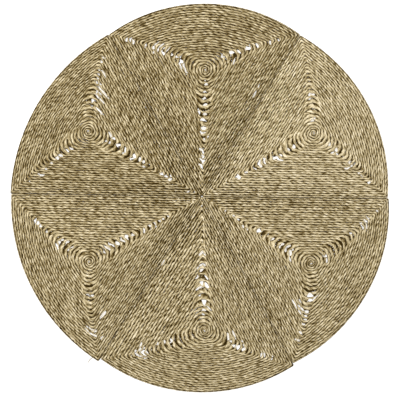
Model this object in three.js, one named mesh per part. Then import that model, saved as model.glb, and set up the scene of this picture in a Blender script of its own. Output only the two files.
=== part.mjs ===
// Round seagrass rug, lying flat. Six petals, each wound from one seagrass rope out from its eye, are
// sewn side by side round the middle. A turn is round near the eye and grows into a wedge with two
// straight sides and a bowed rim side. Where the turns bend, at the three mitres of a petal, the ropes
// part and leave small gaps that go right through.
// Millimetres and degrees, +Z up, with the origin under the middle of the rug's box.
import * as THREE from "three";

const RUG_RADIUS = 600; // middle of the rug to a plain stretch of the rim
const EYE_REACH = 400; // middle of the rug to a petal's eye
const TURNS = 27; // from an eye to the petal's edge
const ROPE_TOP = 7.4; // crest of a rope above the floor
const VALLEY_TOP = 4.4; // groove between two turns above the floor
const SEAM = 0.3; // between neighbouring petals
const EYE_ROUND = 31; // bend radius of the largest turn that is still a circle
const STAR_ROUND = 2; // bend radius of the edge at the rug's middle
const RIM_ROUND = 17; // bend radius of the edge at its two corners on the rim
const GROOVE_START = 0.2; // turns from the eye to the first point of the groove
const THINNEST = 0.3; // share of a rope's width at which the crest of its tapered ends stops

// One row for each petal, anticlockwise from the right. axis: where the eye lies. from: direction of the
// petal's first straight side, and its second one is the next row's first. eyeOut and eyeSide: how far
// the eye lies past EYE_REACH and to the left of the axis. rimFrom, rimMid, rimTo: the rim past
// RUG_RADIUS at the first side, half way and at the second side.
const PETALS = [
  { name: "upper_right", axis: 30, from: -0.5, eyeOut: 0, eyeSide: -4, rimFrom: -18, rimMid: -5, rimTo: -8, colour: 0xa89c78 },
  { name: "top", axis: 90, from: 58.8, eyeOut: -5, eyeSide: -11, rimFrom: -6, rimMid: 5, rimTo: -15, colour: 0x9d9069 },
  { name: "upper_left", axis: 150, from: 120, eyeOut: 11, eyeSide: 1, rimFrom: -13, rimMid: -8, rimTo: 1, colour: 0x9a8e68 },
  { name: "lower_left", axis: 210, from: 179.2, eyeOut: 8, eyeSide: 0, rimFrom: -2, rimMid: 6, rimTo: 11, colour: 0x9f936e },
  { name: "bottom", axis: 270, from: 237.9, eyeOut: 20, eyeSide: 8, rimFrom: 0, rimMid: 14, rimTo: 3, colour: 0xa09470 },
  { name: "lower_right", axis: 330, from: 298.6, eyeOut: 1, eyeSide: -11, rimFrom: -4, rimMid: 0, rimTo: -15, colour: 0xa3986f },
];

// Gaps, by petal and corner: first and last are the corners on the rim, star is the one at the rug's
// middle. Each run is [first turn, last turn, width, back, ahead]: every groove of the run is open, from
// back before the corner to ahead past it, anticlockwise. Both are GAP_REACH where a row has none. A
// minus sign starts a slit that lies clear of the corner.
const GAP_REACH = 11;
const GAPS = {
  upper_right: {
    first: [[5, 9, 5.2], [12, 14, 5], [16, 21, 4.6]],
    last: [[5, 5, 5], [10, 11, 5.6], [17, 17, 4.4], [23, 23, 4.4]],
    star: [[7, 8, 7], [10, 15, 7], [17, 20, 6]],
  },
  top: {
    first: [[8, 10, 4.6], [12, 15, 5.4], [18, 19, 4.8], [25, 25, 4.2, 215, -180]],
    last: [[5, 6, 5.6, 8, 38], [7, 9, 5.4], [10, 13, 5.6, 22, 9], [14, 16, 5.4], [19, 21, 5.2]],
    star: [[4, 9, 5.4], [11, 16, 7.4], [18, 22, 6.8]],
  },
  upper_left: {
    first: [[7, 7, 4.8, 44, 8], [8, 8, 4.8], [9, 12, 5.2, 44, 8], [13, 16, 5], [17, 17, 5, 34, 8], [19, 20, 4.8]],
    last: [[8, 12, 5], [20, 21, 4.4]],
    star: [[5, 6, 5.4], [7, 7, 5.4, 8, 24], [8, 10, 5.4], [12, 16, 7.4], [18, 21, 6.2], [25, 25, 5, 4, 4]],
  },
  lower_left: {
    first: [[7, 10, 5.4, 9, 20], [13, 18, 4.6]],
    last: [[9, 9, 5.6], [15, 15, 5.6, -22, 52], [17, 19, 5.8, 42, 8]],
    star: [[6, 12, 6.6], [14, 19, 6]],
  },
  bottom: {
    first: [[9, 10, 5], [12, 12, 4.6], [15, 18, 6.4, 12, 14]],
    last: [[7, 11, 5.2, 9, 32], [12, 13, 5.2], [17, 18, 5.4], [20, 21, 4.6]],
    star: [[5, 7, 5.8], [10, 10, 6], [12, 17, 7], [26, 26, 4.2, -232, 274]],
  },
  lower_right: {
    first: [[9, 10, 5.6], [12, 14, 5.8, 38, 8], [15, 16, 6], [18, 21, 5.2]],
    last: [[5, 5, 5, 22, 9], [16, 18, 5.8, 32, 8], [19, 19, 5.8], [22, 22, 4.6]],
    star: [[6, 6, 7], [7, 8, 7, 9, 27], [9, 9, 7], [11, 20, 5]],
  },
};
const NARROWEST = 0.4; // share of a gap's width that it keeps at a station near its end
const SNAP = 4; // an end of a gap that comes this near a station lies on it
const LIP = 0.3; // share of a rope's sloping side that is left beside a gap

// Stations round a turn, as directions of the outward normal measured from the petal's axis. The two
// straight sides face -120 and 120, so a pair stands just before and just after each of them.
const STATIONS = [-180, -126, -114, -75, -37, -26, -17.5, -9, 0, 9, 17.5, 26, 37, 75, 114, 126];
const CORNER_STATION = { star: 0, first: 3, last: 13 };

const radians = THREE.MathUtils.degToRad;
const direction = (angle) => new THREE.Vector2(Math.cos(radians(angle)), Math.sin(radians(angle)));
const blend = THREE.MathUtils.lerp;

class Petal {
  constructor(row, next) {
    this.from = row.from;
    this.to = next.from > row.from ? next.from : next.from + 360;
    this.row = row;
    this.eye = direction(row.axis).multiplyScalar(EYE_REACH + row.eyeOut);
    this.eye.addScaledVector(direction(row.axis + 90), row.eyeSide);
    this.eyeRadius = this.eye.length();
    this.sides = [this.side(this.from - 90), this.side(this.to + 90)];
    this.rimReach = this.rim((this.from + this.to) / 2) - this.eyeRadius;
  }

  // A straight side: its outward normal and how far it lies from the eye.
  side(angle) {
    const normal = direction(angle);
    return { normal, reach: -this.eye.dot(normal) - SEAM / 2 };
  }

  // Radius of the rim at an angle: an even change between its ends, and a bulge between them.
  rim(angle) {
    const { rimFrom, rimMid, rimTo } = this.row;
    const t = (angle - this.from) / (this.to - this.from);
    const bulge = rimMid - (rimFrom + rimTo) / 2;
    return RUG_RADIUS + blend(rimFrom, rimTo, t) + 4 * bulge * t * (1 - t);
  }

  // Bend radius of the turn at a share of the way out: a circle at first, then ever tighter corners.
  bend(share, reach, atEdge) {
    const round = EYE_ROUND / reach;
    return share < round ? share * reach : blend(EYE_ROUND, atEdge, (share - round) / (1 - round));
  }

  // Where the two straight sides of the turn at this share of the way out cross.
  starCorner(share) {
    const [a, b] = this.sides.map(({ normal, reach }) => ({ normal, c: share * reach + this.eye.dot(normal) }));
    const det = a.normal.x * b.normal.y - a.normal.y * b.normal.x;
    return new THREE.Vector2(
      (a.c * b.normal.y - b.c * a.normal.y) / det,
      (b.c * a.normal.x - a.c * b.normal.x) / det,
    );
  }

  // Where a straight side meets the rim side of the turn, and the angle of that point from the middle.
  rimCorner(share, which) {
    const { normal, reach } = this.sides[which];
    const offset = share * reach + this.eye.dot(normal);
    const along = new THREE.Vector2(-normal.y, normal.x);
    if (along.dot(this.eye) < 0) along.negate();
    let angle = which === 0 ? this.from : this.to;
    const point = new THREE.Vector2();
    for (let round = 0; round < 10; round++) {
      const radius = blend(this.eyeRadius, this.rim(angle), share);
      point.copy(normal).multiplyScalar(offset);
      point.addScaledVector(along, Math.sqrt(radius * radius - offset * offset));
      const swing = THREE.MathUtils.radToDeg(Math.atan2(point.y, point.x)) - this.row.axis;
      angle = this.row.axis + THREE.MathUtils.euclideanModulo(swing + 180, 360) - 180;
    }
    return { point, angle };
  }

  // The point of the turn at this share of the way out whose outward normal has this direction from the axis.
  at(share, facing) {
    const angle = this.row.axis + facing;
    const normal = direction(angle);
    const [first, second] = this.sides;
    const onRim = (reach, end) => {
      const bend = this.bend(share, reach, RIM_ROUND);
      const inner = share - bend / reach;
      const corner = this.rimCorner(inner, end);
      return corner.point.addScaledVector(normal, bend);
    };
    if (angle >= this.from - 90 && angle < this.from)
      return onRim(blend(first.reach, this.rimReach, (angle - this.from + 90) / 90), 0);
    if (angle > this.to && angle <= this.to + 90)
      return onRim(blend(this.rimReach, second.reach, (angle - this.to) / 90), 1);
    if (angle >= this.from && angle <= this.to) {
      const bend = this.bend(share, this.rimReach, RIM_ROUND);
      const inner = share - bend / this.rimReach;
      if (angle < this.rimCorner(inner, 0).angle) return onRim(this.rimReach, 0);
      if (angle > this.rimCorner(inner, 1).angle) return onRim(this.rimReach, 1);
      return normal.multiplyScalar(blend(this.eyeRadius, this.rim(angle), inner) + bend);
    }
    const reach = (first.reach + second.reach) / 2;
    const own = facing > 120 ? second.reach : facing < -120 && facing > -180 ? first.reach : reach;
    const bend = this.bend(share, own, STAR_ROUND);
    return this.starCorner(share - bend / own).addScaledVector(normal, bend);
  }
}

// The petal's gaps as a flat list: the step of the groove at the corner, the width, and how far before
// and past the corner the gap starts and stops.
function gapsOf(name) {
  const gaps = [];
  for (const [corner, runs] of Object.entries(GAPS[name]))
    for (const [first, last, width, back = GAP_REACH, ahead = GAP_REACH] of runs)
      for (let turn = first; turn <= last; turn++)
        gaps.push({ step: turn * STATIONS.length + CORNER_STATION[corner], width, from: -back, to: ahead });
  return gaps;
}

// Share of the edge's length that lies before each station, for a rope that creeps out evenly along it.
function lengthShares(petal) {
  const count = STATIONS.length;
  const points = STATIONS.map((facing) => petal.at(1, facing));
  const lengths = points.map((point, i) => point.distanceTo(points[(i + 1) % count]));
  const whole = lengths.reduce((sum, length) => sum + length, 0);
  return lengths.map((_, i) => lengths.slice(0, i).reduce((sum, length) => sum + length, 0) / whole);
}

// The closed solid of one petal: a ribbed top, walls round the edge and the gaps, and a flat underside.
function petalGeometry(petal, gaps) {
  const count = STATIONS.length;
  const end = TURNS * count;
  const last = end - 1; // the station, just before the star corner, at which the groove runs into the edge
  const byLength = lengthShares(petal);
  const positions = [];
  const faces = [];
  const vertex = (point, z) => positions.push(point.x, point.y, z) / 3 - 1;

  // How far out the groove lies at a step of the winding, from 0 at the eye to 1 at the edge. It creeps
  // out evenly by angle near the eye and by length near the edge.
  const shareAt = (step) => {
    const whole = Math.floor(step / count);
    const station = step - whole * count;
    const low = Math.floor(station);
    const even = station / count;
    const long = blend(byLength[low], low + 1 < count ? byLength[low + 1] : 1, station - low);
    const share = (whole + even) / TURNS;
    return THREE.MathUtils.clamp((whole + blend(even, long, share)) / TURNS, 0, 1);
  };
  const facingAt = (step) => STATIONS[step % count];
  const stationAt = (step) => petal.at(shareAt(step), facingAt(step));

  // Crest of the rope, half way between its two grooves and lower where the rope tapers, or null past its
  // thinnest.
  const crestAt = (step) => {
    if (!Number.isInteger(step)) {
      const low = crestAt(Math.floor(step));
      return low && low.lerp(crestAt(Math.ceil(step)), step - Math.floor(step));
    }
    const inner = step > count ? shareAt(step - count) : 0;
    const outer = step < end ? shareAt(step) : 1;
    const width = Math.min(1, (outer - inner) * TURNS);
    if (width < THINNEST) return null;
    const { x, y } = petal.at((inner + outer) / 2, facingAt(step));
    return new THREE.Vector3(x, y, blend(VALLEY_TOP, ROPE_TOP, width));
  };

  // The place in the groove about this far ahead of a station or, with a minus sign, behind it.
  const walk = (step, distance) => {
    const way = Math.sign(distance);
    for (let left = Math.abs(distance); ; step += way) {
      const here = stationAt(step);
      const there = stationAt(step + way);
      const length = here.distanceTo(there);
      if (left <= length) {
        const share = left < SNAP ? 0 : length - left < SNAP ? 1 : left / length;
        return { step: step + way * share, point: here.lerp(there, share) };
      }
      left -= length;
    }
  };

  // Groove on the outer side of the rope: its inside line is the rope's, its outside line the next turn's.
  const centre = vertex(petal.eye, VALLEY_TOP);
  const groove = [{ step: 0, inside: centre, outside: centre }];
  const join = (step, point) => {
    const id = vertex(point, VALLEY_TOP);
    groove.push({ step, inside: id, outside: id });
    return id;
  };
  const holes = [];
  const crestSteps = []; // stations, and the middle of a slit that lies clear of them, on both its ropes
  const cut = ({ step, width, from, to }) => {
    const start = walk(step, from);
    const stop = walk(step, to);
    const stations = [];
    for (let at = Math.floor(start.step) + 1; at < stop.step; at++)
      stations.push({ step: at, point: stationAt(at) });
    const middle = { step: (start.step + stop.step) / 2, point: start.point.clone().lerp(stop.point, 0.5) };
    if (!stations.length) crestSteps.push(middle.step, middle.step + count);
    const parted = (stations.length ? stations : [middle]).map(({ step: at, point }) => {
      const reach = point.distanceTo(start.point);
      const share = reach / (reach + point.distanceTo(stop.point));
      const half = (width / 2) * Math.max(NARROWEST, 4 * share * (1 - share));
      const crests = [crestAt(at), crestAt(at + count)];
      const slopes = crests.map((crest) => Math.hypot(crest.x - point.x, crest.y - point.y));
      const shift = direction(petal.row.axis + facingAt(Math.round(at)));
      shift.multiplyScalar(Math.min(half, (1 - LIP) * Math.min(...slopes)));
      return { step: at, near: point.clone().sub(shift), far: point.clone().add(shift) };
    });
    const early = join(start.step, start.point);
    for (const at of parted) {
      at.inside = vertex(at.near, VALLEY_TOP);
      at.outside = vertex(at.far, VALLEY_TOP);
      groove.push({ step: at.step, inside: at.inside, outside: at.outside });
    }
    const late = join(stop.step, stop.point);
    const back = parted.toReversed();
    holes.push({
      points: [start.point, ...parted.map((at) => at.near), stop.point, ...back.map((at) => at.far)],
      top: [early, ...parted.map((at) => at.inside), late, ...back.map((at) => at.outside)],
    });
    return stop.step;
  };
  const waiting = gaps.map((gap) => ({ ...gap, start: walk(gap.step, gap.from).step }));
  waiting.sort((a, b) => a.start - b.start);
  for (let step = 1; step < last; ) {
    if (waiting[0]?.start <= step) {
      step = Math.floor(cut(waiting.shift())) + 1;
    } else {
      if (shareAt(step) * TURNS >= GROOVE_START) join(step, stationAt(step));
      step++;
    }
  }
  const edgePoints = STATIONS.map((facing) => petal.at(1, facing));
  const edge = edgePoints.map((point) => vertex(point, VALLEY_TOP));
  for (let step = last; step <= last + count; step++) {
    const id = edge[step % count];
    groove.push({ step, inside: id, outside: id });
  }

  // Crest line.
  for (let step = 1; step < last + count; step++) crestSteps.push(step);
  crestSteps.sort((a, b) => a - b);
  const crest = [{ step: 0, id: centre }];
  for (const step of crestSteps) {
    const point = crestAt(step);
    if (point) crest.push({ step, id: vertex(point, point.z) });
  }
  crest.push({ step: last + count, id: edge[last % count] });

  // Faces between two lines that run side by side, the inner one on the left.
  const zip = (inner, outer) => {
    for (let i = 0, j = 0; i + 1 < inner.length || j + 1 < outer.length; ) {
      const innerNext = inner[i + 1]?.step ?? Infinity;
      const outerNext = outer[j + 1]?.step ?? Infinity;
      const next = innerNext <= outerNext ? inner[++i] : outer[++j];
      const [a, b] = innerNext <= outerNext ? [inner[i - 1].id, outer[j].id] : [inner[i].id, outer[j - 1].id];
      if (a !== b && next.id !== a && next.id !== b) faces.push(a, b, next.id);
    }
  };
  const outerLine = groove.map(({ step, inside }) => ({ step, id: inside }));
  const turned = groove.filter(({ step }) => step <= last);
  const innerLine = turned.map(({ step, outside }) => ({ step: step + count, id: outside }));
  zip(innerLine, crest);
  zip(crest, outerLine);

  // Walls and underside.
  const wall = (top, bottom) => {
    for (let i = 0; i < top.length; i++) {
      const j = (i + 1) % top.length;
      faces.push(top[j], top[i], bottom[i], top[j], bottom[i], bottom[j]);
    }
  };
  const foot = (points) => points.map((point) => vertex(point, 0));
  const edgeFoot = foot(edgePoints);
  wall(edge, edgeFoot);
  for (const hole of holes) {
    hole.foot = foot(hole.points);
    wall(hole.top, hole.foot);
  }
  const feet = [edgeFoot, ...holes.map((hole) => hole.foot)].flat();
  for (const [a, b, c] of THREE.ShapeUtils.triangulateShape(edgePoints, holes.map((hole) => hole.points)))
    faces.push(feet[c], feet[b], feet[a]);

  const geometry = new THREE.BufferGeometry();
  geometry.setAttribute("position", new THREE.Float32BufferAttribute(positions, 3));
  geometry.setIndex(faces);
  geometry.computeVertexNormals();
  return geometry;
}

const rug = new THREE.Group();
PETALS.forEach((row, i) => {
  const petal = new Petal(row, PETALS[(i + 1) % PETALS.length]);
  const material = new THREE.MeshStandardMaterial({ color: row.colour, roughness: 0.85, metalness: 0 });
  const mesh = new THREE.Mesh(petalGeometry(petal, gapsOf(row.name)), material);
  mesh.name = "petal_" + row.name;
  rug.add(mesh);
});

// The petals are laid out round the point where they meet, so the rug is moved to stand over its origin.
const middle = new THREE.Box3().setFromObject(rug).getCenter(new THREE.Vector3());
for (const mesh of rug.children) mesh.position.set(-middle.x, -middle.y, 0);

export default rug;
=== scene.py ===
"""Round seagrass rug: six petals, each wound from one two-strand rope and sewn to its neighbours.

Lengths in the tables and sizes are millimetres, angles are degrees, and the meshes are metres.
"""

import bmesh
import bpy
import numpy as np
from bpy.props import FloatProperty, FloatVectorProperty, IntProperty, PointerProperty
from mathutils import Matrix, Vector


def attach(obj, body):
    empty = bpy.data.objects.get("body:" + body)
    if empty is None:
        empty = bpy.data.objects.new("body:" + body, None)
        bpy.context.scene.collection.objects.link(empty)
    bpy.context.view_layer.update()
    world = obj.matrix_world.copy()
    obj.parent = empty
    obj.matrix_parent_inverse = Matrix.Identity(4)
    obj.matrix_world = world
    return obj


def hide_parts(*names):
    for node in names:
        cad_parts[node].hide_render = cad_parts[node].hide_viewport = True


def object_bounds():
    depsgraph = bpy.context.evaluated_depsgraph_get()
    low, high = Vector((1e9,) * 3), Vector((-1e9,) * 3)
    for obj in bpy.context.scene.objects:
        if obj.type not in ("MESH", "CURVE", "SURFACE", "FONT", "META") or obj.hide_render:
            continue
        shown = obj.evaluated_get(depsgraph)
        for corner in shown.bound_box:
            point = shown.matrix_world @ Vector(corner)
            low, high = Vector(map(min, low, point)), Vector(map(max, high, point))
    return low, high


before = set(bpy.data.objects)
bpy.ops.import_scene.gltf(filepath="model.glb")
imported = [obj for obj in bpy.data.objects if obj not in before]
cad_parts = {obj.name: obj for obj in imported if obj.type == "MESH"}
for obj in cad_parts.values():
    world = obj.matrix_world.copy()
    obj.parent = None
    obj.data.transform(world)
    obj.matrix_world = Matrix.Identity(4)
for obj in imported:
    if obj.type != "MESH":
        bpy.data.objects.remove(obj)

CAD_BOX = [list(corner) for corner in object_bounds()]

bl_info = {
    "name": "Round seagrass rug",
    "version": (1, 0, 0),
    "blender": (4, 5, 0),
    "location": "View3D > Sidebar > Rug",
    "description": "Winds the petals of a seagrass rope rug, their loose blades and a plain studio",
    "category": "Add Mesh",
}

MM = 0.001

# The camera's picture: its width in pixels, the millimetres of rug in one pixel, and the point where the
# petals meet, in pixels from the upper left corner.
PICTURE = 400
PIXEL = 3.139
PICTURE_MIDDLE = (202, 196.5)

# Where the floor lies, in metres, just under the rug.
FLOOR_HEIGHT = -0.0004

# The bends of a turn, by its share of the way from the eye to the petal's edge: the share at which they
# are widest, how much of a turn's reach they gain before it, and how fast they tighten after it.
BEND_WIDEST = 0.28
BEND_RISE = 0.3
BEND_FALL = 2.6

# The most of a bend's radius that a rope fills inwards.
BEND_FILL = 0.92

# The waves by which a rope wanders off its course, and the height of each.
STRAY_WAVES = 12
STRAY = 0.45

# Turns more than this many ropes apart leave spare room. A rope swells into this share of it, but not by
# more than SWELL near the eye and near the petal's edge.
CLOSE = 1.03
SWELL_SHARE = 0.82
SWELL = (3.0, 2.0)

# How far a turn is drawn past the inner edge of the next one.
TURN_OVERLAP = 0.1

# Farther than anything that lies beside a ring.
FAR = 99

# Rows into which the rope is folded on its bake map.
BAKE_ROWS = 34

# Starts of the random draws for a petal's rope and for its loose blades, and how far apart the blades of
# neighbouring petals lie in their noise.
ROPE_SEED = 200
BLADE_SEED = 300
BLADE_OFFSET = 0.37

# Shine of dry seagrass.
DULL = 0.05

# Single blades that lie on the ropes or stand out, one row each: petal, middle, height, length, width,
# direction (None follows the rope) and how far it is bent.
LOOSE_BLADES = [
    ("upper_right", 454, 335, 7.2, 17, 2.4, None, 0),
    ("upper_right", 296, 319, 7.2, 14, 2.2, None, 0),
    ("upper_right", 260, 22, 7.2, 15, 2.0, None, 0),
    ("upper_right", 122, 152, 7.2, 14, 2.2, None, 0),
    ("upper_right", 87, 91, 7.2, 12, 2.0, None, 0),
    ("upper_right", 228, 72, 7.2, 14, 2.0, None, 0),
    ("lower_left", -352, -512, 3.0, 32, 2.6, 228, 4),
]

# One row for each petal, anticlockwise from the right: the direction of its eye, the direction of its
# first straight side, how far its eye lies past eye_reach and to the left of the axis, and the rim past
# rug_radius at the first side, half way and at the second side. light is the tone of its seagrass.
PETALS = [
    dict(name="upper_right", axis=30, start=-0.5, eye_out=0, eye_side=-4, rim=(-18, -5, -8), light=0.085),
    dict(name="top", axis=90, start=58.8, eye_out=-5, eye_side=-11, rim=(-6, 5, -15), light=-0.045),
    dict(name="upper_left", axis=150, start=120, eye_out=11, eye_side=1, rim=(-13, -8, 1), light=-0.045),
    dict(name="lower_left", axis=210, start=179.2, eye_out=8, eye_side=0, rim=(-2, 6, 11), light=0.0),
    dict(name="bottom", axis=270, start=237.9, eye_out=20, eye_side=8, rim=(0, 14, 3), light=0.022),
    dict(name="lower_right", axis=330, start=298.6, eye_out=1, eye_side=-11, rim=(-4, 0, -15), light=0.03),
]

# Openings that show the floor, one row each: where its middle lies from the point where the petals meet,
# its length, its width and the direction of its length.
OPENINGS = {
    "upper_right": [
        (115, 61, 16, 9, 116), (246, 114, 16, 4, 165), (421, 145, 15, 7, 88), (236, 121, 13, 6, 120),
        (288, 156, 12, 8, 86), (181, 110, 12, 5, 86), (347, 239, 12, 5, 29), (184, 96, 11, 7, 134),
        (524, 43, 11, 7, 44), (337, 320, 11, 5, 68), (400, 163, 11, 5, 81), (462, 106, 11, 5, 83),
        (196, 116, 11, 5, 52), (458, 89, 11, 4, 36), (247, 130, 10, 5, 152), (451, 88, 10, 4, 175),
        (271, 147, 9, 6, 124), (349, 320, 9, 5, 3), (197, 106, 9, 4, 126), (409, 137, 9, 4, 25),
        (225, 118, 8, 4, 129), (169, 86, 8, 3, 143), (338, 306, 7, 4, 45), (492, 73, 6, 5, 12),
        (469, 96, 6, 5, 32), (141, 76, 6, 4, 4), (500, 64, 5, 4, 117),
    ],
    "top": [
        (-51, 395, 25, 4, 107), (-127, 474, 22, 4, 36), (-68, 410, 22, 4, 117), (-58, 415, 21, 6, 98),
        (100, 423, 21, 4, 75), (-106, 462, 21, 3, 49), (165, 321, 20, 4, 61), (-2, 146, 18, 6, 144),
        (-142, 480, 17, 4, 33), (5, 214, 16, 9, 174), (90, 449, 15, 7, 114), (174, 474, 15, 6, 120),
        (9, 259, 14, 6, 179), (10, 288, 14, 6, 22), (214, 482, 14, 5, 108), (-9, 269, 14, 4, 129),
        (-2, 200, 14, 4, 119), (4, 242, 12, 8, 150), (114, 455, 12, 6, 138), (7, 308, 12, 5, 44),
        (-237, 492, 12, 5, 66), (-177, 473, 12, 5, 70), (-224, 492, 12, 4, 64), (-152, 467, 11, 7, 77),
        (13, 352, 11, 6, 17), (-138, 460, 11, 5, 70), (-215, 484, 11, 6, 73), (150, 467, 11, 4, 120),
        (-2, 96, 11, 4, 64), (4, 111, 10, 7, 29), (8, 329, 10, 4, 15), (-3, 116, 10, 4, 134),
        (138, 462, 9, 4, 122), (-70, 437, 9, 4, 174), (-6, 100, 9, 4, 170), (8, 200, 9, 3, 13),
        (-152, 452, 8, 4, 96), (240, 490, 8, 4, 108), (-119, 465, 8, 3, 42), (7, 180, 7, 5, 129),
        (-94, 444, 7, 5, 36), (2, 128, 7, 5, 25), (177, 346, 7, 3, 84), (-117, 449, 7, 3, 95),
        (63, 438, 6, 6, 98), (-126, 456, 6, 3, 62), (9, 365, 5, 3, 82), (17, 187, 5, 3, 64),
    ],
    "upper_left": [
        (-309, 326, 54, 5, 131), (-321, 268, 35, 4, 135), (-308, 386, 27, 4, 117),
        (-287, 192, 24, 6, 117), (-314, 300, 23, 4, 132), (-323, 326, 21, 3, 135),
        (-328, 314, 18, 4, 123), (-240, 146, 17, 5, 88), (-212, 127, 13, 9, 108), (-502, 66, 13, 4, 4),
        (-195, 117, 12, 6, 78), (-266, 160, 12, 6, 111), (-101, 53, 12, 6, 19), (-409, 150, 12, 5, 161),
        (-422, 144, 12, 4, 129), (-222, 119, 12, 4, 174), (-452, 121, 11, 7, 93), (-441, 129, 11, 5, 135),
        (-184, 94, 10, 4, 156), (-183, 109, 9, 7, 78), (-308, 435, 9, 5, 177), (-43, 16, 8, 5, 54),
        (-330, 358, 8, 4, 106), (-98, 64, 8, 4, 120), (-321, 396, 8, 3, 167), (-471, 105, 7, 5, 128),
        (-315, 422, 7, 5, 26), (-324, 383, 7, 4, 157), (-115, 64, 7, 4, 33), (-130, 71, 7, 4, 35),
        (-319, 352, 7, 3, 161), (-300, 174, 6, 5, 95), (-288, 169, 6, 3, 68), (-326, 370, 5, 4, 44),
        (-344, 296, 5, 4, 57), (-490, 87, 5, 4, 35), (-248, 136, 5, 4, 118), (-541, 49, 5, 4, 81),
        (-345, 283, 5, 3, 172), (-512, 71, 4, 4, 108),
    ],
    "lower_left": [
        (-340, -434, 29, 5, 153), (-311, -371, 28, 8, 49), (-297, -161, 23, 5, 148),
        (-355, -411, 21, 4, 145), (-338, -420, 21, 5, 161), (-249, -138, 18, 5, 162),
        (-237, -130, 17, 4, 140), (-361, -419, 17, 3, 134), (-452, -159, 15, 5, 93),
        (-265, -147, 14, 9, 153), (-422, -142, 13, 5, 27), (-522, -77, 13, 4, 75), (-218, -121, 11, 6, 2),
        (-279, -153, 11, 4, 139), (-288, -150, 11, 4, 169), (-407, -159, 11, 3, 23),
        (-314, -442, 11, 3, 42), (-437, -136, 10, 6, 13), (-148, -85, 10, 3, 124), (-359, -307, 9, 3, 5),
        (-448, -143, 8, 8, 123), (-344, -311, 8, 6, 172), (-307, -174, 8, 5, 151), (-133, -77, 8, 4, 151),
        (-181, -112, 8, 4, 83), (-419, -167, 8, 4, 51), (-122, -70, 7, 5, 12), (-182, -103, 7, 5, 133),
        (-487, -111, 7, 5, 49), (-503, -94, 7, 3, 90), (-163, -92, 6, 6, 122), (-106, -63, 6, 4, 141),
        (-512, -85, 6, 4, 53), (-161, -102, 5, 3, 93), (-145, -95, 5, 3, 83),
    ],
    "bottom": [
        (101, -434, 29, 4, 112), (-9, -286, 27, 4, 37), (82, -440, 26, 5, 97), (-3, -178, 21, 6, 51),
        (22, -350, 20, 3, 133), (-122, -207, 19, 3, 61), (15, -255, 16, 4, 127), (220, -506, 15, 4, 70),
        (-174, -487, 15, 4, 133), (130, -479, 14, 8, 40), (-192, -464, 14, 5, 64), (14, -283, 14, 3, 133),
        (-180, -497, 13, 4, 151), (-201, -497, 13, 4, 138), (6, -356, 12, 6, 167),
        (-96, -451, 12, 6, 117), (-14, -253, 12, 5, 57), (186, -495, 12, 4, 75), (-192, -501, 12, 4, 175),
        (196, -497, 12, 4, 93), (-187, -489, 10, 8, 143), (-2, -231, 10, 7, 57), (-194, -480, 10, 6, 56),
        (-4, -215, 10, 5, 25), (-117, -455, 10, 5, 103), (4, -369, 10, 4, 149), (8, -340, 9, 6, 157),
        (109, -470, 9, 5, 58), (-139, -462, 9, 4, 92), (-13, -223, 9, 3, 48), (8, -215, 8, 5, 77),
        (-209, -484, 7, 6, 83), (-178, -507, 7, 4, 177), (-181, -475, 7, 4, 78), (-7, -311, 7, 4, 15),
        (9, -183, 7, 3, 124), (96, -467, 6, 4, 83), (127, -454, 6, 3, 106), (130, -466, 5, 3, 94),
    ],
    "lower_right": [
        (290, -338, 30, 4, 119), (311, -350, 27, 5, 134), (355, -317, 22, 3, 42), (277, -177, 18, 8, 94),
        (271, -156, 18, 4, 23), (516, -93, 18, 3, 90), (299, -450, 17, 6, 164), (307, -363, 17, 4, 125),
        (276, -197, 15, 4, 107), (391, -201, 15, 4, 93), (307, -328, 13, 3, 128), (520, -67, 13, 3, 127),
        (329, -362, 12, 7, 0), (339, -306, 12, 6, 166), (253, -150, 12, 5, 21), (262, -168, 12, 5, 87),
        (511, -76, 12, 5, 119), (339, -325, 11, 8, 8), (309, -427, 11, 6, 153), (129, -94, 11, 4, 102),
        (324, -386, 11, 4, 169), (244, -158, 10, 4, 74), (223, -133, 10, 4, 26), (318, -401, 10, 4, 160),
        (498, -86, 10, 3, 134), (325, -375, 9, 5, 175), (505, -98, 9, 4, 93), (549, -45, 9, 4, 144),
        (384, -188, 9, 4, 129), (183, -110, 9, 3, 12), (113, -72, 8, 4, 150), (99, -60, 7, 4, 179),
        (74, -44, 6, 4, 43), (285, -167, 6, 4, 31), (464, -116, 6, 3, 94), (142, -103, 6, 3, 88),
    ],
}

# Facings, from the petal's axis, between which a turn creeps outwards evenly.
STATIONS = [-180, -126, -114, -75, -37, -26, -17.5, -9, 0, 9, 17.5, 26, 37, 75, 114, 126, 180]

# Corners of the rope's section: their direction from a furrow between its strands, and how far out they
# lie in halves of the rope.
STRAND = np.array([0, 34, 90, 146, 180, 214, 270, 326])
RADIUS = np.array([0.71, 0.945, 1.035, 0.945] * 2)


class RugSizes(bpy.types.PropertyGroup):
    """Sizes of the rug and its rope, in millimetres"""
    rug_radius: FloatProperty(
        name="Rug radius", description="Middle to a plain stretch of the rim", default=600)
    eye_reach: FloatProperty(
        name="Eye reach", description="Middle of the rug to a petal's eye", default=400)
    turns: IntProperty(
        name="Turns", description="Turns of rope from an eye to the petal's edge", default=27)
    rope: FloatProperty(
        name="Rope", description="Thickness of the rope", default=7.4)
    lay: FloatProperty(
        name="Lay", description="Length of rope in which a strand goes once round", default=45)
    step: FloatProperty(
        name="Step", description="Length of rope between two rings of its mesh", default=3.0)
    seam: FloatProperty(
        name="Seam", description="Between neighbouring petals", default=0.06)
    eye_round: FloatProperty(
        name="Eye round", description="Bend of the largest turn that is a circle", default=28)
    star_round: FloatProperty(
        name="Star round", description="Bend of the edge at the rug's middle", default=1.0)
    rim_round: FloatProperty(
        name="Rim round", description="Bend of the edge at the rim", default=4)


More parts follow.
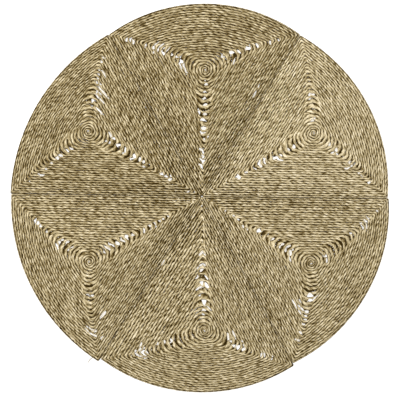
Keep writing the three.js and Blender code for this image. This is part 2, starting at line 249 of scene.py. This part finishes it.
class RugColours(bpy.types.PropertyGroup):
    """Colours of the seagrass, from its lightest blades to the painted shade deep between two ropes"""
    cream: FloatVectorProperty(
        name="Cream", description="Bleached blades", subtype="COLOR", size=3, default=(0.90, 0.79, 0.59))
    straw: FloatVectorProperty(
        name="Straw", description="Light blades", subtype="COLOR", size=3, default=(0.74, 0.63, 0.41))
    olive: FloatVectorProperty(
        name="Olive", description="Most blades", subtype="COLOR", size=3, default=(0.455, 0.37, 0.205))
    brown: FloatVectorProperty(
        name="Brown", description="Dark blades", subtype="COLOR", size=3, default=(0.185, 0.128, 0.045))
    # groove is painted shade: the darkest colour, used where the painted shade low between two ropes is
    # deepest.
    groove: FloatVectorProperty(
        name="Groove", description="Deep between two ropes", subtype="COLOR", size=3,
        default=(0.05, 0.029, 0.004))


class RugStudio(bpy.types.PropertyGroup):
    """Light and camera"""
    sky: FloatProperty(
        name="Sky", description="Strength of the even white light", default=1.0)
    lamp: FloatProperty(
        name="Lamp", description="Power of the large soft lamp", default=60, unit="POWER")


def direction(angle):
    """Unit vectors at angles in degrees."""
    angle = np.radians(angle)
    return np.stack([np.cos(angle), np.sin(angle)], -1)


def blend(a, b, share):
    """From a to b by a share of the way."""
    return a + (b - a) * share


def smooth(low, high, value):
    """From 0 at low to 1 at high, with no sharp turn."""
    share = np.clip((value - low) / (high - low), 0, 1)
    return share * share * (3 - 2 * share)


class Petal:
    """Plan of one petal, in millimetres from the point where the petals meet."""

    def __init__(self, row, end, sizes):
        self.row, self.sizes = row, sizes
        self.start, self.end, self.axis = row["start"], end, row["axis"]
        self.eye = (sizes.eye_reach + row["eye_out"]) * direction(self.axis)
        self.eye = self.eye + row["eye_side"] * direction(self.axis + 90)
        self.eye_radius = np.hypot(*self.eye)
        self.sides = [self.side(self.start - 90), self.side(self.end + 90)]
        self.rim_reach = float(self.rim((self.start + self.end) / 2)) - self.eye_radius

    def side(self, angle):
        """A straight side: its outward normal, its distance from the eye, and its way to the rim."""
        normal = direction(angle)
        along = np.array([-normal[1], normal[0]])
        if along @ self.eye < 0:
            along = -along
        return normal, -self.eye @ normal - self.sizes.seam / 2, along

    def rim(self, angle):
        """Radius of the rim at an angle."""
        first, middle, last = self.row["rim"]
        share = (angle - self.start) / (self.end - self.start)
        bulge = middle - (first + last) / 2
        return self.sizes.rug_radius + blend(first, last, share) + 4 * bulge * share * (1 - share)

    def bend(self, share, reach, at_edge):
        """Bend radius of a turn: a circle at first, then a round corner, at last ever tighter ones."""
        eye_round = self.sizes.eye_round
        limit = eye_round / reach
        rise = eye_round + BEND_RISE * (np.minimum(share, BEND_WIDEST) - limit) * reach
        past = np.clip((share - BEND_WIDEST) / (1 - BEND_WIDEST), 0, 1)
        return np.where(share < limit, share * reach, blend(at_edge, rise, (1 - past) ** BEND_FALL))

    def stray(self, point, share):
        """Hand-laid ropes wander a little, but not at the petal's edge."""
        rng = np.random.default_rng(int(self.axis))
        away = np.zeros_like(point)
        for _ in range(STRAY_WAVES):
            way = direction(rng.uniform(0, 360)) * 2 * np.pi / rng.uniform(50, 150)
            away += np.sin(point @ way + rng.uniform(0, 7))[:, None] * direction(rng.uniform(0, 360))
        return point + away * (STRAY * (1 - np.clip(share, 0, 1) ** 5))[:, None]

    def rim_corner(self, share, which):
        """Where a straight side meets the rim side of a turn, and the angle of that point."""
        normal, reach, along = self.sides[which]
        offset = share * reach + self.eye @ normal
        angle = np.full_like(share, (self.start, self.end)[which])
        for _ in range(10):
            radius = blend(self.eye_radius, self.rim(angle), share)
            way = np.sqrt(radius**2 - offset**2)
            point = offset[:, None] * normal + way[:, None] * along
            swing = np.degrees(np.arctan2(point[:, 1], point[:, 0])) - self.axis
            angle = self.axis + (swing + 180) % 360 - 180
        return point, angle

    def at(self, share, facing):
        """Points of turns at these shares of the way out that face this way, and their bend radii."""
        sizes = self.sizes
        angle = self.axis + facing
        (normal_a, reach_a, _), (normal_b, reach_b, _) = self.sides
        quarter_a = np.clip((angle - self.start + 90) / 90, 0, 1)
        quarter_b = np.clip((angle - self.end) / 90, 0, 1)
        reach = np.where(
            angle < self.start, blend(reach_a, self.rim_reach, quarter_a),
            blend(self.rim_reach, reach_b, quarter_b))
        bend = self.bend(share, reach, sizes.rim_round)
        inner = share - bend / reach
        corner_a, angle_a = self.rim_corner(inner, 0)
        corner_b, angle_b = self.rim_corner(inner, 1)
        normal = direction(angle)
        radius = blend(self.eye_radius, self.rim(angle), inner)
        point = normal * radius[:, None]
        point = np.where((angle < angle_a)[:, None], corner_a, point)
        point = np.where((angle > angle_b)[:, None], corner_b, point)
        on_arc = (angle >= angle_a) & (angle <= angle_b)
        curve = np.where(on_arc, sizes.rug_radius, bend)

        first, last = self.start - 90 - self.axis, self.end + 90 - self.axis
        star = (facing < first) | (facing > last)
        share_b = (facing - last) / (180 - last) / 2
        share_a = 0.5 + (facing + 180) / (first + 180) / 2
        reach = blend(reach_b, reach_a, np.where(facing > last, share_b, share_a))
        star_bend = self.bend(share, reach, sizes.star_round)
        inner = share - star_bend / reach
        offsets = np.stack([inner * reach_a + self.eye @ normal_a, inner * reach_b + self.eye @ normal_b])
        star_point = np.linalg.solve(np.stack([normal_a, normal_b]), offsets).T
        point = np.where(star[:, None], star_point, point)
        bend = np.where(star, star_bend, bend)
        curve = np.where(star, star_bend, curve)
        return self.stray(point + normal * bend[:, None], share), curve


def wind(petal, sizes):
    """The rope of a petal as rings: place, way outwards, and how far it reaches inwards and outwards."""
    turns = sizes.turns
    first, last = petal.start - 90 - petal.axis, petal.end + 90 - petal.axis
    facing = np.concatenate([
        np.linspace(-180, first - 0.01, 13)[:-1], [first - 0.01], np.linspace(first + 0.01, -40, 16),
        np.linspace(-38, 38, 77), np.linspace(40, last - 0.01, 16), np.linspace(last + 0.01, 180, 13)[:-1]])
    count = len(facing)
    even = np.interp(facing, STATIONS, np.arange(len(STATIONS)) / (len(STATIONS) - 1))
    edge = petal.at(np.ones(count), facing)[0]
    sides = np.hypot(*(np.roll(edge, -1, 0) - edge).T)
    long = (np.cumsum(sides) - sides) / sides.sum()

    turn = np.repeat(np.arange(-1, turns + 2), count).reshape(-1, count)
    out = turn + even
    groove = np.clip((turn + blend(even, long, np.clip(out / turns, 0, 1))) / turns, None, 1)
    groove_in = np.roll(groove, 1, 0)
    middle = (groove + groove_in) / 2
    middle[1] = groove[1] - 0.5 / turns
    facing_all = np.tile(facing, (len(turn), 1))
    kept = slice(1, None)
    flat = np.clip(middle[kept], 0.02 / turns, 1).ravel()
    place, curve = petal.at(flat, facing_all[kept].ravel())
    rows = turns + 2
    place = place.reshape(rows, count, 2)
    curve = curve.reshape(rows, count)
    normal = direction(petal.axis + facing_all[kept])
    width = np.clip((groove - groove_in)[kept] * turns, 0, 1)
    width[0] = 1

    pitch_out = np.zeros((rows, count))
    pitch_out[:-1] = ((place[1:] - place[:-1]) * normal[:-1]).sum(-1)
    edge_away = ((edge[None] - place) * normal).sum(-1)
    pitch_in = np.roll(pitch_out, 1, 0)
    pitch_in[0] = FAR
    full = sizes.rope * CLOSE
    half_in = np.minimum(np.minimum(pitch_in, full) / 2 * width, BEND_FILL * curve)
    spare = np.maximum(pitch_out - full, 0)
    swell = blend(*SWELL, smooth(0.3, 0.6, np.clip(groove[kept], 0, 1)))
    half_out = (np.minimum(pitch_out, full) / 2 + np.minimum(SWELL_SHARE * spare, swell)) * width
    closed = np.zeros((rows, count))
    closed[:-1] = pitch_out[:-1] - half_in[1:] + TURN_OVERLAP
    outer = (turn[kept] >= turns) | ((turn[kept] == turns - 1) & (width[[*range(1, rows), rows - 1]] < 0.3))
    closed = np.where(outer, edge_away, closed)
    half_out = np.where(turn[kept] >= turns, edge_away, half_out)

    # One line of rings, spaced evenly along the middle and the outer edge of the rope.
    line = place.reshape(-1, 2)
    rim = (place + normal * np.clip(closed, 0, 12)[..., None]).reshape(-1, 2)
    steps = np.hypot(*np.diff(line, axis=0).T)
    metric = (2 * steps + np.hypot(*np.diff(rim, axis=0).T)) / 3
    along = np.concatenate([[0], np.cumsum(steps)])
    ruler = np.concatenate([[0], np.cumsum(metric)])
    out_line = out[kept].ravel()
    begin = np.interp(0.74, out_line, ruler)
    stop = ruler[np.argmax((width.ravel() < 0.3) & (out_line > turns))]
    at = np.linspace(begin, stop, int((stop - begin) / sizes.step))

    def ringed(values):
        """Values of the plan at every ring."""
        values = values.reshape(len(ruler), -1)
        return np.stack([np.interp(at, ruler, column) for column in values.T], -1).squeeze()

    rope = dict(
        at=ringed(along), place=ringed(place), normal=ringed(normal), width=ringed(width),
        low=-ringed(half_in), high=ringed(closed), inner=ringed(half_in), outer=ringed(half_out))
    rope["at"] -= rope["at"][0]
    rope["normal"] /= np.linalg.norm(rope["normal"], axis=1, keepdims=True)
    rope["back"] = np.clip(ringed(pitch_in), 0, 30) / 2 + 2
    open_up(rope, OPENINGS[petal.row["name"]])
    return rope


def open_up(rope, openings):
    """Limits the rope, and draws it aside, where the floor shows beside it."""
    low, high = rope["low"], rope["high"]
    beside = 14  # how far past an opening's end its rings are looked for
    margin = 0.6  # what an opening gains on each side
    thinnest = 1.5  # half of what a rope keeps between two openings
    least = 0.3  # what a ring keeps on each side
    webbed = low.copy()
    edge_in, edge_out = np.zeros(len(low)), np.zeros(len(low))
    for x, y, long, wide, turned in openings:
        away = rope["place"] - (x, y)
        near = np.hypot(*away.T) < long / 2 + beside
        axes = np.stack([
            direction(turned) / (long / 2 + margin), direction(turned + 90) / (wide / 2 + margin)])
        start, way = away[near] @ axes.T, rope["normal"][near] @ axes.T
        a, b, c = (way**2).sum(1), (start * way).sum(1), (start**2).sum(1) - 1
        hit = b * b > a * c
        root = np.sqrt(np.where(hit, b * b - a * c, 0))
        enter, leave = (-b - root) / a, (-b + root) / a
        outwards = enter + leave > 0
        at = np.flatnonzero(near)
        past = at[hit & outwards]
        high[past] = np.minimum(high[past], enter[hit & outwards])
        edge_out[past] = 1
        inside = hit & ~outwards & (-leave < rope["back"][near])
        before = at[inside]
        edge_in[before] = 1
        webbed[before] = np.where(webbed[before] == low[before], -FAR, webbed[before])
        webbed[before] = np.maximum(webbed[before], leave[inside])
        low[before] = np.maximum(low[before], leave[inside])
    keep = np.minimum(thinnest, (rope["inner"] + rope["outer"]) / 2)
    tight = high - low < 2 * keep
    centre = (high + low) / 2
    low = np.where(tight, centre - keep, low)
    high = np.where(tight, centre + keep, high)
    aside = np.minimum(np.maximum(0, low + keep), high - keep)
    soft = np.exp(-np.linspace(-2, 2, 7) ** 2)
    aside = np.convolve(aside, soft / soft.sum(), "same")
    rope["place"] = rope["place"] + rope["normal"] * aside[:, None]
    rope["reach_out"] = np.maximum(high - aside, least)
    rope["reach_in"] = np.maximum(aside - np.minimum(low, webbed), least)
    rope["own_in"] = np.clip(np.minimum(rope["inner"], aside - low), least, None)
    rope["edge_in"], rope["edge_out"] = edge_in, edge_out


def section(rope, sizes, seed):
    """Corners of every ring: across the rope, height, and how much they lie in a sunken web."""
    rng = np.random.default_rng(seed)
    at = rope["at"]
    half = sizes.rope / 2

    def waver(length, size):
        """A random value along the rope, with a knot at every length."""
        knots = np.arange(0, at[-1] + 2 * length, length)
        return np.interp(at, knots, rng.normal(0, size, len(knots)))

    lays = 1 / (sizes.lay * np.exp(waver(34, 0.3)))
    turned = -360 * np.cumsum(lays) * sizes.step
    angle = np.radians(STRAND[None] + turned[:, None])
    fat = 1 + waver(18, 0.03)
    strand = np.where(STRAND < 180, 1 + waver(30, 0.05)[:, None], 1 + waver(30, 0.05)[:, None])
    radius = RADIUS[None] * strand
    across = np.cos(angle) * radius
    up = np.sin(angle) * radius

    # Each side is drawn to its own reach. Past the rope's own half it becomes a low web.
    most = across.max(1)
    least = -across.min(1)
    own_out = np.minimum(rope["reach_out"], np.maximum(rope["outer"], 0.2))
    own_out = own_out * most * np.where(rope["edge_out"] > 0, 1, 1.02)
    own_in = rope["own_in"] * least * np.where(rope["edge_in"] > 0, 1, 1.02)
    share = np.where(across > 0, across / most[:, None], across / least[:, None])
    share = np.where(up < 0.05, np.clip(1.15 * share, -1, 1), share)
    wide = np.clip(rope["outer"] / sizes.rope * 2 - 1.05, 0, 1)[:, None] * (across > 0)
    up = np.where(up > 0, blend(up, 1 - (1 - np.clip(up, 0, 1)) ** 2.2, wide), up)
    web_out = np.maximum(rope["reach_out"] - own_out, 0)
    web_in = np.maximum(rope["reach_in"] - own_in, 0)
    edge = smooth(0.6, 1.0, abs(share))
    web = np.where(across > 0, web_out[:, None], web_in[:, None])
    side = share * np.where(across > 0, own_out[:, None], own_in[:, None]) + np.sign(share) * edge * web
    lift = 0.9 + 0.1 * np.clip(rope["width"], 0, 1)
    height = half * lift[:, None] * (1 + np.clip(up * fat[:, None] / 1.02, -1, 1))
    sunk = edge * np.clip((web - 0.4) / 2.5, 0, 1)
    web_top = 3.1 + 0.5 * abs(share)
    height = np.where(height > web_top, blend(height, web_top, sunk * 0.85), height)
    drift = waver(28, 0.1)
    return side + drift[:, None], height, sunk


def rope_mesh(name, rope, sizes, shift, seed):
    """A closed rope from a grid whose rows are rings and whose columns are the section's corners."""
    side, height, sunk = section(rope, sizes, seed)
    rings, corners = side.shape
    bm = bmesh.new()
    bmesh.ops.create_grid(bm, x_segments=corners, y_segments=rings - 1, size=1)
    mesh = bpy.data.meshes.new(name)
    bm.to_mesh(mesh)
    grid = np.empty(len(mesh.vertices) * 3)
    mesh.vertices.foreach_get("co", grid)
    grid = grid.reshape(-1, 3)
    column = np.rint((grid[:, 0] + 1) / 2 * corners).astype(int)
    ring = np.rint((grid[:, 1] + 1) / 2 * (rings - 1)).astype(int)
    corner = column % corners
    place = rope["place"][ring] + rope["normal"][ring] * side[ring, corner][:, None] + shift
    points = np.column_stack([place, height[ring, corner]]) * MM
    mesh.vertices.foreach_set("co", points.ravel())
    loops = np.empty(len(mesh.loops), dtype=np.int32)
    mesh.loops.foreach_get("vertex_index", loops)
    turned = np.append(STRAND, 360) / 360
    rope_map = mesh.uv_layers.new(name="rope")
    laid = np.column_stack([rope["at"][ring] * MM, turned[column]])
    rope_map.uv.foreach_set("vector", laid[loops].ravel())
    fold = -(-rings // BAKE_ROWS)
    start = np.repeat(ring[loops].reshape(-1, 4).min(1) // fold, 4)
    bake = np.column_stack([
        (ring[loops] - start * fold) / fold * 0.998 + 0.001,
        (start + 0.04 + 0.92 * turned[column[loops]]) / (start.max() + 1)])
    bake_map = mesh.uv_layers.new(name="OFBake")
    bake_map.uv.foreach_set("vector", bake.ravel())
    web = mesh.attributes.new("sunk", "FLOAT", "POINT")
    web.data.foreach_set("value", sunk[ring, corner])

    bm.free()
    bm = bmesh.new()
    bm.from_mesh(mesh)
    bmesh.ops.remove_doubles(bm, verts=bm.verts, dist=1e-7)
    rims = [e for e in bm.edges if e.is_boundary]
    bmesh.ops.holes_fill(bm, edges=rims, sides=corners)
    bmesh.ops.recalc_face_normals(bm, faces=bm.faces)
    for face in bm.faces:
        face.smooth = True
    bm.to_mesh(mesh)
    bm.free()
    return mesh


def loose_rows(name, rope, seed):
    """Blades beside and across a petal's openings, and its single ones from the table."""
    rng = np.random.default_rng(seed)
    rows = []
    for x, y, long, wide, turned in OPENINGS[name]:
        for _ in range(1 + (wide > 4) + (long > 16)):
            away = direction(turned + 90) * wide * rng.uniform(-0.6, 0.6)
            height, length = rng.uniform(3.5, 6.5), (4 + long) * rng.uniform(0.8, 1.3)
            rows.append((
                x + away[0], y + away[1], height, length, rng.uniform(0.7, 1.3), turned + rng.normal(0, 12),
                rng.uniform(-1, 1), 0))
    for petal, x, y, height, long, wide, turned, bent in LOOSE_BLADES:
        if petal == name:
            ring = np.argmin(np.hypot(*(rope["place"] - (x, y)).T))
            normal = rope["normal"][ring]
            if turned is None:
                turned = np.degrees(np.arctan2(normal[1], normal[0])) + 78
            rows.append((x, y, height, long, wide, turned, bent, int(abs(bent) > 1)))
    return rows


def blade_mesh(name, rows, shift):
    """Thin pointed blades in one mesh."""
    bm = bmesh.new()
    for x, y, height, long, wide, turned, bent, dark in rows:
        way, side = direction(turned), direction(turned + 90)
        blade = bmesh.ops.create_uvsphere(bm, u_segments=6, v_segments=7, radius=1)["verts"]
        for face in {face for vert in blade for face in vert.link_faces}:
            face.material_index = dark
        for vert in blade:
            across, up, along = vert.co
            place = shift + (x, y) + way * along * long / 2 + side * (across * wide / 2 + bent * along**2)
            vert.co = (place[0] * MM, place[1] * MM, (height + 0.3 * up - 0.8 * along**2) * MM)
    bmesh.ops.recalc_face_normals(bm, faces=bm.faces)
    for face in bm.faces:
        face.smooth = True
    mesh = bpy.data.meshes.new(name)
    bm.to_mesh(mesh)
    bm.free()
    return mesh


def link(obj):
    """Adds an object to the scene."""
    bpy.context.scene.collection.objects.link(obj)
    return obj


def node(tree, kind, place, **values):
    """A shader node with settings by name and inputs by socket name or number."""
    made = tree.nodes.new(kind)
    made.location = (place[0] * 190, -place[1] * 190)
    inputs = values.pop("inputs", {})
    for name, value in values.items():
        setattr(made, name, value)
    for name, value in inputs.items():
        if isinstance(value, bpy.types.NodeSocket):
            tree.links.new(value, made.inputs[name])
        else:
            made.inputs[name].default_value = value
    return made


def ramp(tree, place, value, stops):
    """A colour ramp through (position, colour) stops."""
    made = node(tree, "ShaderNodeValToRGB", place, inputs={0: value})
    line = made.color_ramp
    while len(line.elements) < len(stops):
        line.elements.new(0.5)
    for element, (position, colour) in zip(line.elements, stops):
        element.position = position
        element.color = (*colour, 1) if len(colour) == 3 else colour
    return made.outputs["Color"]


def grey(value):
    """A colour without hue."""
    return (value, value, value)


def blade_group():
    """Streaks of blades along a twisted rope, in the coordinates of its map."""
    group = bpy.data.node_groups.new("Rope blades", "ShaderNodeTree")
    face = group.interface
    for name, default in (("Lay", 0.045), ("Slant", 0.62), ("Across", 2.2), ("Along", 25.0)):
        socket = face.new_socket(name, in_out="INPUT", socket_type="NodeSocketFloat")
        socket.default_value = default
    face.new_socket("Mask", in_out="OUTPUT", socket_type="NodeSocketFloat")
    enter = node(group, "NodeGroupInput", (-6, 0))
    leave = node(group, "NodeGroupOutput", (6, 0))
    uv = node(group, "ShaderNodeUVMap", (-6, 2), uv_map="rope")
    apart = node(group, "ShaderNodeSeparateXYZ", (-5, 2), inputs={0: uv.outputs[0]})

    def maths(place, operation, *values):
        """The result of one sum."""
        made = node(group, "ShaderNodeMath", place, operation=operation, inputs=dict(enumerate(values)))
        return made.outputs[0]

    slide = maths((-4, 1), "DIVIDE", apart.outputs["X"], enter.outputs["Lay"])
    slide = maths((-3, 1), "MULTIPLY", slide, enter.outputs["Slant"])
    round_ = maths((-2, 1), "SUBTRACT", apart.outputs["Y"], slide)
    angle = maths((-1, 1), "MULTIPLY", round_, 2 * np.pi)
    cos = maths((0, 0), "MULTIPLY", maths((0, 1), "COSINE", angle), enter.outputs["Across"])
    sin = maths((0, 2), "MULTIPLY", maths((0, 3), "SINE", angle), enter.outputs["Across"])
    run = maths((0, 4), "MULTIPLY", apart.outputs["X"], enter.outputs["Along"])
    vector = node(group, "ShaderNodeCombineXYZ", (2, 1), inputs={0: cos, 1: sin, 2: run})
    noise = node(group, "ShaderNodeTexNoise", (3, 1), inputs={
        "Vector": vector.outputs[0], "Scale": 1.0, "Detail": 2.0, "Roughness": 0.55})
    group.links.new(noise.outputs["Fac"], leave.inputs["Mask"])
    return group


def bare_material(name):
    """A new material and its empty shader tree."""
    material = bpy.data.materials.new(name)
    material.use_nodes = True
    material.node_tree.nodes.clear()
    return material, material.node_tree


def seagrass(name, sizes, colours, light, blade_tree, offset):
    """Twisted seagrass: blades of several tones, with painted shade in the furrows between strands and low
    between ropes.
    """
    material, tree = bare_material(name)
    place = node(tree, "ShaderNodeTexCoord", (-8, 4))
    uv = node(tree, "ShaderNodeUVMap", (-8, 0), uv_map="rope")
    uv_parts = node(tree, "ShaderNodeSeparateXYZ", (-7, 0), inputs={0: uv.outputs[0]})
    sunk = node(tree, "ShaderNodeAttribute", (-8, 6), attribute_name="sunk", attribute_type="GEOMETRY")

    def maths(at, operation, *values):
        """The result of one sum."""
        made = node(tree, "ShaderNodeMath", at, operation=operation, inputs=dict(enumerate(values)))
        return made.outputs[0]

    def blades(at, across, along, slant):
        """Streaks of blades, this fine across and along the rope."""
        made = node(tree, "ShaderNodeGroup", at, node_tree=blade_tree, inputs={
            "Lay": sizes.lay * MM, "Slant": slant, "Across": across, "Along": along + offset})
        return made.outputs["Mask"]

    fine = blades((-6, -2), 2.4, 72.0, 1.0)
    blade = blades((-6, 0), 0.85, 62.0, 1.0)
    strand = blades((-6, 2), 0.6, 45.0, 0.5)
    patches = node(tree, "ShaderNodeTexNoise", (-6, 4), inputs={
        "Vector": place.outputs["Object"], "Scale": 14.0, "Detail": 3.0}).outputs["Fac"]
    # Painted shade in the furrows between the two strands, darkest right in each furrow.
    furrow = maths((-5, -4), "MULTIPLY", uv_parts.outputs["Y"], 2 * np.pi)
    furrow = maths((-3, -4), "ABSOLUTE", maths((-4, -4), "COSINE", furrow))
    furrow = maths((-2, -4), "POWER", furrow, 6.0)
    # Painted shade: the colour darkens from the rope's crest down to half its height, on the rope's sides
    # and in the grooves between ropes.
    height = node(tree, "ShaderNodeSeparateXYZ", (-7, 5), inputs={0: place.outputs["Object"]}).outputs["Z"]
    height = maths((-7, 7), "MULTIPLY_ADD", height, 1 / (sizes.rope * MM), -0.5)
    height = maths((-5, 7), "ADD", maths((-6, 7), "ABSOLUTE", height), 0.5)
    painted_shade = ramp(tree, (-5, 6), height, [
        (0.50, grey(1)), (0.72, grey(0.64)), (0.86, grey(0.2)), (0.98, grey(0))])

    mask = maths((-4, 0), "MULTIPLY_ADD", maths((-5, 0), "SUBTRACT", blade, 0.5), 0.55, 0.598)
    mask = maths((-3, 0), "MULTIPLY_ADD", maths((-5, 1), "SUBTRACT", fine, 0.5), 1.85, mask)
    mask = maths((-2, 0), "MULTIPLY_ADD", maths((-5, 2), "SUBTRACT", strand, 0.5), 0.25, mask)
    mask = maths((-1, 0), "MULTIPLY_ADD", maths((-5, 3), "SUBTRACT", patches, 0.5), 0.06, mask)
    mask = maths((0, 0), "MULTIPLY_ADD", furrow, -0.06, mask)
    # The painted shade is stronger or weaker along the strand streaks.
    shade_strength = maths((-1, 3), "MULTIPLY_ADD", maths((-2, 3), "SUBTRACT", strand, 0.5), -4.2, 0.95)
    shade_strength = maths((0, 3), "MINIMUM", maths((0, 4), "MAXIMUM", shade_strength, 0.25), 1.6)
    mask = maths((1, 0), "MULTIPLY_ADD", maths((1, 3), "MULTIPLY", painted_shade, shade_strength), -0.9, mask)
    # Corners in the low web are lightened a little, which takes back some of the painted shade there.
    mask = maths((2, 0), "MULTIPLY_ADD", sunk.outputs["Fac"], 0.2, mask)
    mask = maths((3, 0), "ADD", mask, light)
    # Low tones come from the painted shade and from dark blades, the high ones from light and bleached
    # blades.
    colour = ramp(tree, (4, 0), mask, [
        (0.0, tuple(colours.groove)), (0.25, tuple(colours.brown)), (0.55, tuple(colours.olive)),
        (0.80, tuple(colours.straw)), (1.0, tuple(colours.cream))])
    relief = node(tree, "ShaderNodeBump", (4, 3), inputs={
        "Strength": 0.6, "Distance": 0.0006, "Height": blade})
    shader = node(tree, "ShaderNodeBsdfPrincipled", (6, 0), inputs={
        "Base Color": colour, "Roughness": 0.72, "Normal": relief.outputs[0]})
    shader.inputs["Specular IOR Level"].default_value = DULL
    result = node(tree, "ShaderNodeOutputMaterial", (8, 0))
    tree.links.new(shader.outputs[0], result.inputs[0])
    return material


def loose_blades(name, tones):
    """Loose blades of three tones."""
    material, tree = bare_material(name)
    place = node(tree, "ShaderNodeTexCoord", (-3, 0))
    tone = node(tree, "ShaderNodeTexNoise", (-2, 0), inputs={
        "Vector": place.outputs["Object"], "Scale": 90.0, "Detail": 1.0})
    colour = ramp(tree, (-1, 0), tone.outputs["Fac"], list(zip((0.3, 0.5, 0.7), map(tuple, tones))))
    shader = node(tree, "ShaderNodeBsdfPrincipled", (1, 0), inputs={"Base Color": colour, "Roughness": 0.7})
    shader.inputs["Specular IOR Level"].default_value = DULL
    result = node(tree, "ShaderNodeOutputMaterial", (3, 0))
    tree.links.new(shader.outputs[0], result.inputs[0])
    return material


def all_petals(sizes):
    """The six petals, each of which ends where the next one starts."""
    starts = [row["start"] for row in PETALS]
    ends = starts[1:] + [starts[0] + 360]
    return [Petal(row, end, sizes) for row, end in zip(PETALS, ends)]


def outline(petal):
    """Points round a petal's edge."""
    facing = np.array(STATIONS[:-1], dtype=float)
    return petal.at(np.ones(len(facing)), facing)[0]


def plan_shift(petals):
    """From the point where the petals meet to the middle of the rug's box."""
    points = np.concatenate([outline(petal) for petal in petals])
    middle = (points.min(0) + points.max(0)) / 2
    low, high = CAD_BOX
    centre = np.array([low[0] + high[0], low[1] + high[1]]) / 2 / MM
    return centre - middle


def petal_area(petal):
    """Area inside a petal's outline, in square metres."""
    x, y = (outline(petal) * MM).T
    return abs(np.sum(x * np.roll(y, -1) - y * np.roll(x, -1))) / 2


class RUG_OT_petals(bpy.types.Operator):
    """Winds the six petals from their ropes"""
    bl_idname = "rug.petals"
    bl_label = "Wind the petals"

    def execute(self, context):
        sizes, colours = context.scene.rug_sizes, context.scene.rug_colours
        petals = all_petals(sizes)
        shift = plan_shift(petals)
        blade_tree = blade_group()
        pale = loose_blades("Pale blades", (colours.olive, colours.straw, colours.cream))
        dark = loose_blades("Dark blades", (colours.brown, colours.brown, colours.olive))
        for i, petal in enumerate(petals):
            name = "petal_" + petal.row["name"]
            rope = wind(petal, sizes)
            mesh = rope_mesh(name + "_rope", rope, sizes, shift, ROPE_SEED + i)
            piece = link(bpy.data.objects.new(name + "_rope", mesh))
            material = seagrass(
                "Seagrass " + petal.row["name"].replace("_", " "), sizes, colours, petal.row["light"],
                blade_tree, BLADE_OFFSET * i)
            mesh.materials.append(material)
            rows = loose_rows(petal.row["name"], rope, BLADE_SEED + i)
            loose_mesh = blade_mesh(name + "_blades", rows, shift)
            loose_mesh.materials.append(pale)
            loose_mesh.materials.append(dark)
            loose = link(bpy.data.objects.new(name + "_blades", loose_mesh))
            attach(loose, "root")
            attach(piece, "root")
            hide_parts(name)
            petal_area(petal)
        return {"FINISHED"}


class RUG_OT_studio(bpy.types.Operator):
    """Makes the camera, the white floor and the soft light"""
    bl_idname = "rug.studio"
    bl_label = "Set up the studio"

    def execute(self, context):
        scene, studio = context.scene, context.scene.rug_studio
        camera = link(bpy.data.objects.new("Camera", bpy.data.cameras.new("Camera")))
        camera.data.lens = 100
        camera.data.sensor_width = 36
        width = PICTURE * PIXEL * MM
        column, line = PICTURE_MIDDLE
        aside = np.array([PICTURE / 2 - column, line - PICTURE / 2]) * PIXEL
        x, y = plan_shift(all_petals(scene.rug_sizes)) + aside
        camera.location = (x * MM, y * MM, width * camera.data.lens / camera.data.sensor_width)
        scene.camera = camera

        bm = bmesh.new()
        bmesh.ops.create_grid(bm, x_segments=1, y_segments=1, size=8)
        floor_mesh = bpy.data.meshes.new("Floor")
        bm.to_mesh(floor_mesh)
        bm.free()
        floor_mesh.transform(Matrix.Translation((0, 0, FLOOR_HEIGHT)))
        floor = link(bpy.data.objects.new("Floor", floor_mesh))
        paint = bpy.data.materials.new("White floor")
        paint.use_nodes = True
        shader = paint.node_tree.nodes["Principled BSDF"]
        shader.inputs["Base Color"].default_value = (0.6, 0.6, 0.6, 1)
        shader.inputs["Roughness"].default_value = 0.9
        shader.inputs["Specular IOR Level"].default_value = 0
        shader.inputs["Emission Color"].default_value = (1, 1, 1, 1)
        shader.inputs["Emission Strength"].default_value = 0.7
        floor_mesh.materials.append(paint)

        world = bpy.data.worlds.new("Studio sky")
        world.use_nodes = True
        world.node_tree.nodes["Background"].inputs["Color"].default_value = (1, 1, 1, 1)
        world.node_tree.nodes["Background"].inputs["Strength"].default_value = studio.sky
        scene.world = world
        lamp = bpy.data.lights.new("Soft lamp", "AREA")
        lamp.energy = studio.lamp
        lamp.shape = "DISK"
        lamp.size = 1.6
        light = link(bpy.data.objects.new("Soft lamp", lamp))
        light.location = (-1.5, 1.7, 2.4)
        light.rotation_euler = (-light.location).to_track_quat("-Z", "Y").to_euler()
        scene.view_settings.view_transform = "Standard"
        return {"FINISHED"}


class RUG_PT_panel(bpy.types.Panel):
    """Steps that make the rug"""
    bl_label = "Seagrass rug"
    bl_space_type = "VIEW_3D"
    bl_region_type = "UI"
    bl_category = "Rug"

    def draw(self, context):
        for step in (RUG_OT_studio, RUG_OT_petals):
            self.layout.operator(step.bl_idname)
        for group in (context.scene.rug_sizes, context.scene.rug_colours, context.scene.rug_studio):
            for name in group.__annotations__:
                self.layout.prop(group, name)


CLASSES = (RugSizes, RugColours, RugStudio, RUG_OT_petals, RUG_OT_studio, RUG_PT_panel)


def register():
    for kind in CLASSES:
        bpy.utils.register_class(kind)
    bpy.types.Scene.rug_sizes = PointerProperty(type=RugSizes)
    bpy.types.Scene.rug_colours = PointerProperty(type=RugColours)
    bpy.types.Scene.rug_studio = PointerProperty(type=RugStudio)


def unregister():
    del bpy.types.Scene.rug_studio
    del bpy.types.Scene.rug_colours
    del bpy.types.Scene.rug_sizes
    for kind in reversed(CLASSES):
        bpy.utils.unregister_class(kind)


def main():
    register()
    bpy.ops.rug.studio()
    bpy.ops.rug.petals()


if __name__ == "__main__":
    main()
